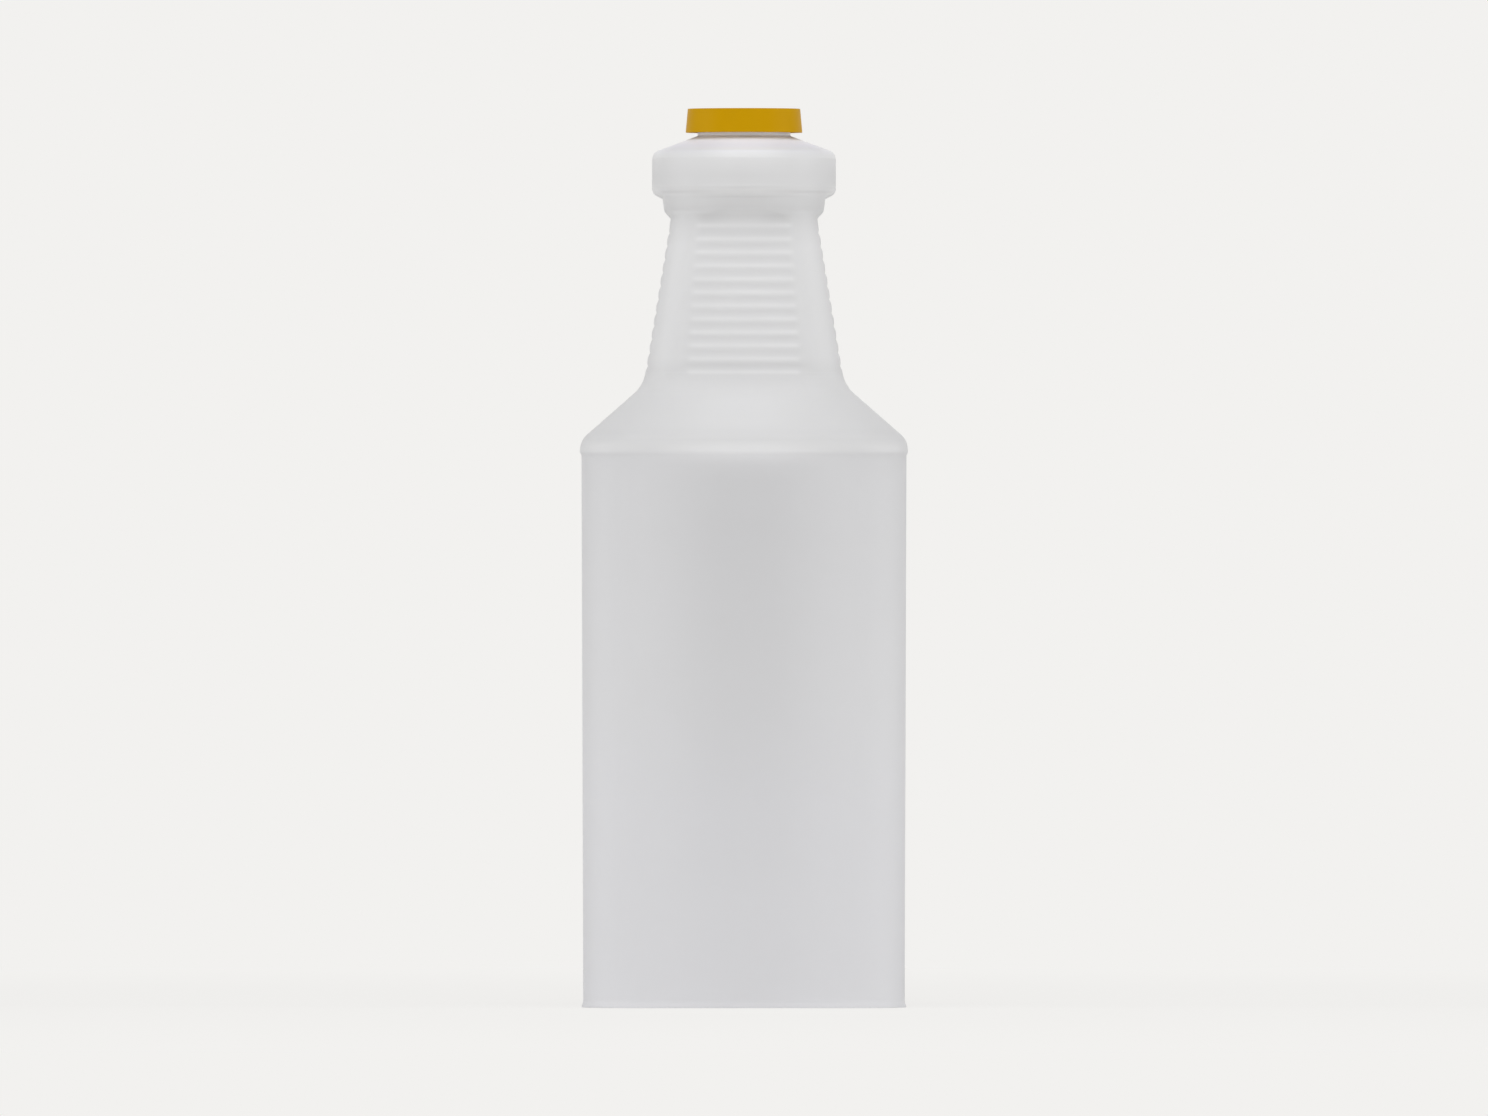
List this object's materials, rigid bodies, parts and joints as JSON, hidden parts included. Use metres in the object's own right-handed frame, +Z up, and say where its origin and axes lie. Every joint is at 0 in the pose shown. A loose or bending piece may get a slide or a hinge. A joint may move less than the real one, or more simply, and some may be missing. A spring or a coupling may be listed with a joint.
{
  "type": "square bottle",
  "caption": "Tall square blown bottle with a ribbed tapering grip, a round collar and a low screw cap that unscrews from its threaded neck.",
  "frame": {"origin": "middle of the flat ring that the bottle stands on", "axes": "+Z up the bottle's axis through the neck, +X and +Y out through the middles of two flat sides"},
  "size_m": [0.0828, 0.0828, 0.227],
  "materials": {
    "natural_plastic": "satin, milky, faintly translucent blown plastic",
    "mustard_plastic": "semi-gloss moulded plastic",
    "liner_foam": "matt closed-cell foam"
  },
  "bodies": {
    "bottle_body": {"bottle": "natural_plastic"},
    "liner_body": {"liner": "liner_foam"},
    "cap_body": {"cap": "mustard_plastic"}
  },
  "joints": [
    {"name": "cap_lift", "type": "slide", "parent": "bottle_body", "child": "liner_body", "axis": [0, 0, 1], "range_m": [0, 0.0075]},
    {"name": "cap_turn", "type": "hinge", "parent": "liner_body", "child": "cap_body", "pos_m": [0, 0, 0.224], "axis": [0, 0, 1], "range_deg": [0, 1080]}
  ],
  "couplings": [
    {"joint": "cap_turn", "follows": "cap_lift", "rad_per_m": 2513.3}
  ]
}
